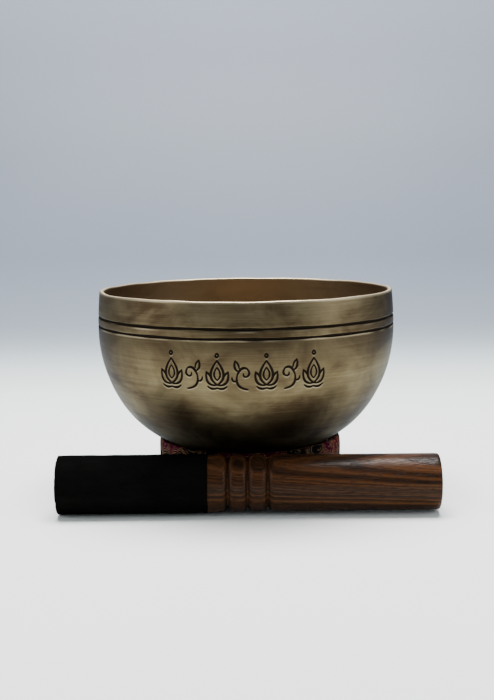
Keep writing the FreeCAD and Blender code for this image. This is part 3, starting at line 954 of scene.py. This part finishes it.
stick_low, stick_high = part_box("mallet_stick")
suede_low, suede_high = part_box("suede_wrap")
STICK_START = stick_low.x
STICK_LENGTH = stick_high.x - stick_low.x
STICK_AXIS_Y = (suede_low.y + suede_high.y) / 2
STICK_AXIS_Z = (suede_low.z + suede_high.z) / 2
WOOD_RADIUS = (stick_high.z - stick_low.z) / 2
SUEDE_RADIUS = (suede_high.z - suede_low.z) / 2
SUEDE_LENGTH = suede_high.x - suede_low.x
SUEDE_THICK = 0.0013
GLUE_LINE = 0.00005
SEAT_RADIUS = SUEDE_RADIUS - SUEDE_THICK - GLUE_LINE
FIRST_BEAD = 0.0108
FIRST_GROOVE = SUEDE_LENGTH + GLUE_LINE + FIRST_BEAD
GROOVE_PITCH = 0.0106
GROOVE_DEPTH = 0.0023
GROOVE_BOTTOM = 0.00045
GROOVE_SHOULDER = 0.0035
END_BEVEL = 0.0013


def turned_radius(x):
    """Radius of the bare wood at this distance from the striking end."""
    radius = WOOD_RADIUS
    for k in range(3):
        off = abs(x - FIRST_GROOVE - k * GROOVE_PITCH)
        if off < GROOVE_BOTTOM:
            return WOOD_RADIUS - GROOVE_DEPTH
        if off < GROOVE_BOTTOM + GROOVE_SHOULDER:
            share = 1 - (off - GROOVE_BOTTOM) / GROOVE_SHOULDER
            curve = (GROOVE_SHOULDER**2 + GROOVE_DEPTH**2) / (2 * GROOVE_DEPTH)
            run = share * GROOVE_SHOULDER
            radius -= curve - math.sqrt(curve**2 - run**2)
    edge = x - SUEDE_LENGTH
    if edge < 0.0006:
        radius -= 0.0003 * (1 - edge / 0.0006) ** 2
    end = STICK_LENGTH - x
    if end < END_BEVEL:
        radius -= END_BEVEL * (1 - math.sqrt(max(0.0, 1 - (1 - end / END_BEVEL) ** 2)))
    return radius


def lathe(name, outline, columns):
    """A turned piece along X from (distance, radius) points, closed at both ends."""
    turn = np.linspace(0, 2 * math.pi, columns, endpoint=False)
    points, faces = [], []
    for x, radius in outline:
        for t in turn:
            y, z = radius * math.sin(t), radius * math.cos(t)
            points.append((STICK_START + x, STICK_AXIS_Y + y, STICK_AXIS_Z + z))
    for i in range(len(outline) - 1):
        for k in range(columns):
            a, b = i * columns, (i + 1) * columns
            n = (k + 1) % columns
            faces.append((a + k, b + k, b + n, a + n))
    for row, flip in ((0, False), (len(outline) - 1, True)):
        pole = len(points)
        points.append((STICK_START + outline[row][0], STICK_AXIS_Y, STICK_AXIS_Z))
        for k in range(columns):
            a, b = row * columns + k, row * columns + (k + 1) % columns
            faces.append((b, a, pole) if flip else (a, b, pole))
    return piece_from(name, points, faces)


def rosewood():
    """Brown heartwood with near-black growth lines and short open pores."""
    recipe = Recipe("rosewood")
    place = recipe.place()
    parts = recipe.add("SeparateXYZ", place)
    # The blank was cut beside the heart of the log, and leans a little along it.
    sag = recipe.math("MULTIPLY", parts.outputs[0], 0.055)
    off_y = recipe.math("SUBTRACT", parts.outputs[1], STICK_AXIS_Y + 0.024)
    off_z = recipe.math("ADD", recipe.math("SUBTRACT", parts.outputs[2], STICK_AXIS_Z - 0.040), sag)
    across = recipe.add("CombineXYZ", 0.0, off_y, off_z).outputs[0]
    depth = recipe.add("VectorMath", across, operation="LENGTH").outputs["Value"]
    waver = recipe.noise(recipe.stretched(place, (14, 60, 60)), 1.0, 3)
    depth = recipe.math("MULTIPLY_ADD", waver, 0.0032, depth)
    growth = recipe.math("MULTIPLY", depth, 430)
    ring_place = recipe.add("CombineXYZ", growth, parts.outputs[0], 0.0).outputs[0]
    rings = recipe.noise(ring_place, 1.0, 6, 0.72)
    colour = recipe.ramp(
        rings,
        [
            (0.42, (0.0028, 0.0010, 0.0005)),
            (0.49, (0.0160, 0.0058, 0.0020)),
            (0.55, (0.0530, 0.0190, 0.0062)),
            (0.66, (0.1000, 0.0380, 0.0125)),
        ],
    )
    fibre = recipe.noise(recipe.stretched(place, (70, 2600, 2600)), 1.0, 3, 0.6)
    colour = recipe.mix(recipe.spread(fibre, 0.35, 0.7, 0.0, 0.32), colour, (0.095, 0.038, 0.014))
    pores = recipe.noise(recipe.stretched(place, (190, 3600, 3600)), 1.0, 1)
    open_pore = recipe.spread(pores, 0.57, 0.65)
    colour = recipe.mix(recipe.math("MULTIPLY", open_pore, 0.75), colour, (0.005, 0.002, 0.001))
    relief = recipe.bump(recipe.math("SUBTRACT", 1.0, open_pore), 0.00008)
    relief = recipe.bump(fibre, 0.00003, under=relief)
    roughness = recipe.math("MULTIPLY_ADD", open_pore, 0.25, 0.30)
    return recipe.finish(colour, roughness, relief, Specular_IOR_Level=0.10)


outline = [(0.0, SEAT_RADIUS * 0.35), (0.0, SEAT_RADIUS * 0.7), (0.0, SEAT_RADIUS - END_BEVEL)]
outline += [(END_BEVEL * 0.35, SEAT_RADIUS - END_BEVEL * 0.35), (END_BEVEL, SEAT_RADIUS)]
outline += [(0.02, SEAT_RADIUS), (0.05, SEAT_RADIUS), (SUEDE_LENGTH + GLUE_LINE, SEAT_RADIUS)]
distance = SUEDE_LENGTH + GLUE_LINE
while distance < STICK_LENGTH:
    outline.append((distance, turned_radius(distance)))
    in_beads = distance < FIRST_GROOVE + 2 * GROOVE_PITCH + 0.004
    near_end = STICK_LENGTH - distance < 0.0016
    distance += 0.0002 if in_beads or near_end else 0.0015
outline.append((STICK_LENGTH, turned_radius(STICK_LENGTH)))
outline += [(STICK_LENGTH, WOOD_RADIUS * 0.6), (STICK_LENGTH, WOOD_RADIUS * 0.3)]
stick = lathe("turned_stick", outline, 144)
stick.data.materials.append(rosewood())
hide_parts("mallet_stick")
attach(stick, "mallet")

# ------------------------------------------------------------------ suede wrap
# A strip of black suede rolled once around the striking end and glued, nap side
# out. Its long edges butt along the back of the top, where the raw leather shows.

SEAM_LEAN = math.radians(16)
SEAM_GAP = 0.0005
SEAM_RAGGED = 0.006
NAP_WAVE, EDGE_CURL = 0.00004, 0.00025
SUEDE_ROWS, SUEDE_COLUMNS = 150, 150


def suede():
    """Black nap, brushed this way and that, brown where the leather is cut."""
    recipe = Recipe("black_suede")
    place = recipe.place()
    nap = recipe.noise(place, 2300, 4, 0.7)
    brushed = recipe.noise(recipe.stretched(place, (60, 140, 140)), 1.0, 3, 0.6)
    colour = recipe.mix(brushed, (0.0012, 0.0012, 0.0012), (0.0048, 0.0046, 0.0044))
    raw = recipe.attribute("raw_edge")
    colour = recipe.mix(recipe.math("MULTIPLY", raw, 0.8), colour, (0.030, 0.016, 0.009))
    relief = recipe.bump(brushed, 0.0002)
    relief = recipe.bump(nap, 0.00022, under=relief)
    return recipe.finish(colour, 0.95, relief, Specular_IOR_Level=0.0)


def roll_suede():
    """The strip's closed mesh, out along its face and back along its glued side."""
    gap = SEAM_GAP / SUEDE_RADIUS
    turns = np.linspace(SEAM_LEAN + gap / 2, SEAM_LEAN + 2 * math.pi - gap / 2, SUEDE_COLUMNS)
    inner = SUEDE_RADIUS - SUEDE_THICK
    edge = 0.00045
    rounding = []
    for k in range(1, 5):
        bend = k / 5 * math.pi / 2
        rounding.append((edge * (1 - math.cos(bend)), SUEDE_RADIUS - edge * (1 - math.sin(bend))))
    stations = [(0.0, inner), (0.0, SUEDE_RADIUS - edge)] + rounding
    for x in np.linspace(edge, SUEDE_LENGTH - edge, SUEDE_ROWS):
        stations.append((x, SUEDE_RADIUS))
    stations += [(SUEDE_LENGTH - x, radius) for x, radius in reversed(rounding)]
    stations += [(SUEDE_LENGTH, SUEDE_RADIUS - edge), (SUEDE_LENGTH, inner)]
    dice = random.Random(7)
    phases = [dice.uniform(0, 6.28) for _ in range(12)]
    points, raw = [], []
    for column, turn in enumerate(turns):
        from_seam = min(turn - turns[0], turns[-1] - turn) * SUEDE_RADIUS
        curl = math.exp(-from_seam / 0.0007)
        for x, radius in stations:
            waver = math.sin(310 * x + phases[0] + 2 * math.sin(turn + phases[1]))
            slow = math.sin(130 * x - 2 * turn + phases[3])
            waver += math.sin(520 * x + 3 * turn + phases[2]) + slow
            out = radius
            if radius > inner + 0.0001:
                out += NAP_WAVE * waver - EDGE_CURL * curl
            shift = 0.0
            if x < 0.001 or x > SUEDE_LENGTH - 0.001:
                shift = 0.00012 * math.sin(7 * turn + phases[4])
                shift += 0.00008 * math.sin(19 * turn + phases[5])
                shift = max(shift, 0) if x < 0.001 else min(shift, 0)
            bend = turn
            if column in (0, SUEDE_COLUMNS - 1):
                side = 1 if column == 0 else -1
                ragged = 1 + math.sin(900 * x + phases[6]) * 0.6
                ragged += math.sin(340 * x + phases[7]) * 0.4
                bend += side * SEAM_RAGGED * ragged
            height = max(STICK_AXIS_Z + out * math.cos(bend), 0.0)
            points.append((STICK_START + x + shift, STICK_AXIS_Y + out * math.sin(bend), height))
            raw.append(max(curl, 0.7 if radius < inner + 0.0001 else 0.0))
    rows = len(stations)
    faces = []
    for c in range(SUEDE_COLUMNS - 1):
        for r in range(rows):
            a, b = c * rows, (c + 1) * rows
            n = (r + 1) % rows
            faces.append((a + r, a + n, b + n, b + r))
    first = list(range(rows))
    last = [(SUEDE_COLUMNS - 1) * rows + r for r in range(rows)]
    faces.append(tuple(reversed(first)))
    faces.append(tuple(last))
    piece = piece_from("suede_roll", points, faces)
    edge_shade = piece.data.attributes.new("raw_edge", "FLOAT", "POINT")
    edge_shade.data.foreach_set("value", np.array(raw, np.float32))
    return piece


wrap = roll_suede()
wrap.data.materials.append(suede())
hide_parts("suede_wrap")
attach(wrap, "mallet")

# ------------------------------------------------------------------ table and light
# A white table that curves up into a pale grey wall, under one broad soft light from above and
# weaker ones from both sides. The darkening from table to wall is painted shade.


def table_colour_and_painted_shade():
    """Matt white laminate; its colour darkens to blue-grey towards the wall and lightens again near
    the top, as painted shade.
    """
    recipe = Recipe("table_with_painted_shade")
    place = recipe.place()
    parts = recipe.add("SeparateXYZ", place)
    back_and_up = recipe.math("ADD", parts.outputs[1], parts.outputs[2])
    # Painted shade: the ramp darkens the colour from the table back to the middle of the wall and
    # lets it lighten again higher up.
    colour = recipe.ramp(
        recipe.math("MULTIPLY", back_and_up, 1 / 1.6),
        [
            (0.06, (0.92, 0.97, 0.92)),
            (0.19, (0.84, 0.90, 0.87)),
            (0.28, (0.64, 0.70, 0.71)),
            (0.37, (0.42, 0.48, 0.52)),
            (0.47, (0.255, 0.300, 0.350)),
            (0.62, (0.190, 0.222, 0.275)),
            (0.79, (0.210, 0.242, 0.300)),
            (0.91, (0.270, 0.300, 0.370)),
            (1.00, (0.35, 0.39, 0.47)),
        ],
    )
    cloud = recipe.noise(place, 3.0, 2)
    colour = recipe.mix(recipe.math("MULTIPLY", cloud, 0.05), colour, (0.70, 0.72, 0.76))
    return recipe.finish(colour, 0.55, None)


TABLE_HALF = 1.5
WALL_AT = 1.1
WALL_CURVE = 0.45
profile = [(-1.2, 0.0), (-0.4, 0.0), (WALL_AT - WALL_CURVE, 0.0)]
for k in range(1, 17):
    bend = k / 16 * math.pi / 2
    out, up = WALL_CURVE * math.sin(bend), WALL_CURVE * (1 - math.cos(bend))
    profile.append((WALL_AT - WALL_CURVE + out, up))
profile.append((WALL_AT, 2.2))
table_points = [(side * TABLE_HALF, y, z) for y, z in profile for side in (-1, 1)]
table_faces = [(2 * i, 2 * i + 1, 2 * i + 3, 2 * i + 2) for i in range(len(profile) - 1)]
table = piece_from("table_and_wall", table_points, table_faces)
table.data.materials.append(table_colour_and_painted_shade())


def soft_light(name, place, aim, size, power, colour):
    """A soft box at place, facing aim."""
    data = bpy.data.lights.new(name, "AREA")
    data.shape = "RECTANGLE"
    data.size, data.size_y = size
    data.energy = power
    data.color = colour
    light = bpy.data.objects.new(name, data)
    bpy.context.scene.collection.objects.link(light)
    light.location = place
    light.rotation_euler = (Vector(aim) - Vector(place)).to_track_quat("-Z", "Y").to_euler()
    return light


soft_light("overhead", (0.0, 0.20, 1.15), (0, 0.0, 0), (0.9, 0.6), 45.0, (1.0, 0.995, 0.98))
soft_light("left", (-1.0, -0.35, 0.45), (0, 0, 0.05), (0.5, 0.8), 4.6, (0.96, 0.98, 1.0))
soft_light("right", (1.0, -0.35, 0.45), (0, 0, 0.05), (0.5, 0.8), 4.6, (0.96, 0.98, 1.0))

world = bpy.data.worlds.new("room")
bpy.context.scene.world = world
world.use_nodes = True
world.node_tree.nodes["Background"].inputs[0].default_value = (0.80, 0.86, 0.95, 1.0)
world.node_tree.nodes["Background"].inputs[1].default_value = 0.36
